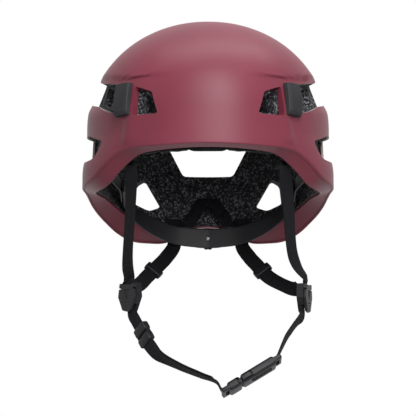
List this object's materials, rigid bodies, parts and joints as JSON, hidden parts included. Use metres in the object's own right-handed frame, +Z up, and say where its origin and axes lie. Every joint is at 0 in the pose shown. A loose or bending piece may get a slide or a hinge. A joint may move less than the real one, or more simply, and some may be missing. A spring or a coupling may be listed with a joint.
{
  "type": "climbing_helmet",
  "caption": "Climbing helmet with a satin burgundy hard shell, foam liner, vents, headlamp clips, dial-adjusted headband and a webbing chin strap with a side-release buckle.",
  "frame": {"origin": "Where the top of the wearer's head meets the crown pad.", "axes": "+Z up, the wearer faces -Y, and +X is the wearer's left."},
  "size_m": [0.2238, 0.2789, 0.3405],
  "materials": {
    "shell": "satin",
    "foam": "beaded",
    "pad": "knitted",
    "plastic": "moulded",
    "webbing": "woven",
    "steel": "bright"
  },
  "bodies": {
    "root": {"outer_shell": "shell", "foam_liner": "foam", "brow_pad": "pad", "side_pad_left": "pad", "side_pad_right": "pad", "crown_pad": "pad", "headband_arm_left": "plastic", "headband_arm_right": "plastic", "temple_pin_left": "plastic", "temple_pin_right": "plastic", "headband_yoke": "plastic", "yoke_plug": "plastic", "front_anchor_left": "plastic", "front_anchor_right": "plastic", "rear_anchor_left": "plastic", "rear_anchor_right": "plastic", "divider_left": "plastic", "divider_right": "plastic", "buckle_female": "plastic", "lever_pin_left": "steel", "lever_pin_right": "steel", "front_webbing_left": "webbing", "front_webbing_right": "webbing", "rear_webbing_left": "webbing", "rear_webbing_right": "webbing", "chin_webbing_right": "webbing", "chin_webbing_return": "webbing", "chin_webbing_left": "webbing"},
    "nape_cradle": {"nape_band": "plastic", "dial_cover": "plastic"},
    "dial": {"size_dial": "plastic", "dial_axle": "steel"},
    "front_clip_left": {"front_lamp_clip_left": "plastic"},
    "front_clip_right": {"front_lamp_clip_right": "plastic"},
    "rear_clip": {"rear_lamp_clip": "plastic"},
    "lever_left": {"divider_lever_left": "plastic"},
    "lever_right": {"divider_lever_right": "plastic"},
    "slider_left": {"rear_slider_left": "plastic"},
    "slider_right": {"rear_slider_right": "plastic"},
    "adjuster": {"chin_adjuster": "plastic"},
    "male_half": {"buckle_male": "plastic"},
    "arm_front": {"buckle_arm_front": "plastic"},
    "arm_rear": {"buckle_arm_rear": "plastic"}
  },
  "joints": [
    {"name": "headband_size", "type": "slide", "parent": "root", "child": "nape_cradle", "axis": [0, -0.9848, 0.1736], "range_m": [0, 0.012], "deforming": ["headband_yoke"]},
    {"name": "size_dial_turn", "type": "hinge", "parent": "nape_cradle", "child": "dial", "pos_m": [0, 0.0958, -0.1522], "axis": [0, 1, 0], "range_deg": [0, 138]},
    {"name": "front_clip_flex_left", "type": "hinge", "parent": "root", "child": "front_clip_left", "pos_m": [0.07116, -0.10455, -0.04092], "axis": [-0.8285, -0.5599, 0], "range_deg": [0, 15], "stiffness_Nm_per_rad": 0.4},
    {"name": "front_clip_flex_right", "type": "hinge", "parent": "root", "child": "front_clip_right", "pos_m": [-0.07116, -0.10455, -0.04092], "axis": [-0.8285, 0.5599, 0], "range_deg": [0, 15], "stiffness_Nm_per_rad": 0.4},
    {"name": "rear_clip_flex", "type": "hinge", "parent": "root", "child": "rear_clip", "pos_m": [0, 0.13891, -0.09521], "axis": [1, 0, 0], "range_deg": [0, 9], "stiffness_Nm_per_rad": 0.4},
    {"name": "divider_lever_left_turn", "type": "hinge", "parent": "root", "child": "lever_left", "pos_m": [0.08986, 0.00209, -0.2057], "axis": [-0.2924, -0.9563, 0], "range_deg": [0, 65]},
    {"name": "divider_lever_right_turn", "type": "hinge", "parent": "root", "child": "lever_right", "pos_m": [-0.07267, 0.00101, -0.2048], "axis": [-0.6428, 0.766, 0], "range_deg": [0, 65]},
    {"name": "rear_slider_left_slide", "type": "slide", "parent": "root", "child": "slider_left", "axis": [0.4399, -0.7271, -0.5271], "range_m": [-0.006, 0.006]},
    {"name": "rear_slider_right_slide", "type": "slide", "parent": "root", "child": "slider_right", "axis": [-0.4211, -0.7595, -0.4958], "range_m": [-0.006, 0.006]},
    {"name": "chin_adjuster_slide", "type": "slide", "parent": "root", "child": "adjuster", "axis": [-0.4403, 0.3883, 0.8096], "range_m": [0, 0.008]},
    {"name": "buckle_release", "type": "slide", "parent": "root", "child": "male_half", "axis": [-0.8521, -0.1027, -0.5133], "range_m": [0, 0.03], "deforming": ["chin_webbing_right", "chin_webbing_return"]},
    {"name": "buckle_arm_front_squeeze", "type": "hinge", "parent": "male_half", "child": "arm_front", "pos_m": [0.0267, -0.05628, -0.29079], "axis": [-0.523, 0.2062, 0.827], "range_deg": [0, 8], "stiffness_Nm_per_rad": 0.05},
    {"name": "buckle_arm_rear_squeeze", "type": "hinge", "parent": "male_half", "child": "arm_rear", "pos_m": [0.02704, -0.04023, -0.29458], "axis": [0.523, -0.2062, -0.827], "range_deg": [0, 8], "stiffness_Nm_per_rad": 0.05}
  ],
  "couplings": [
    {"joint": "size_dial_turn", "follows": "headband_size", "rad_per_m": 200},
    {"joint": "buckle_arm_rear_squeeze", "follows": "buckle_arm_front_squeeze", "ratio": 1}
  ]
}
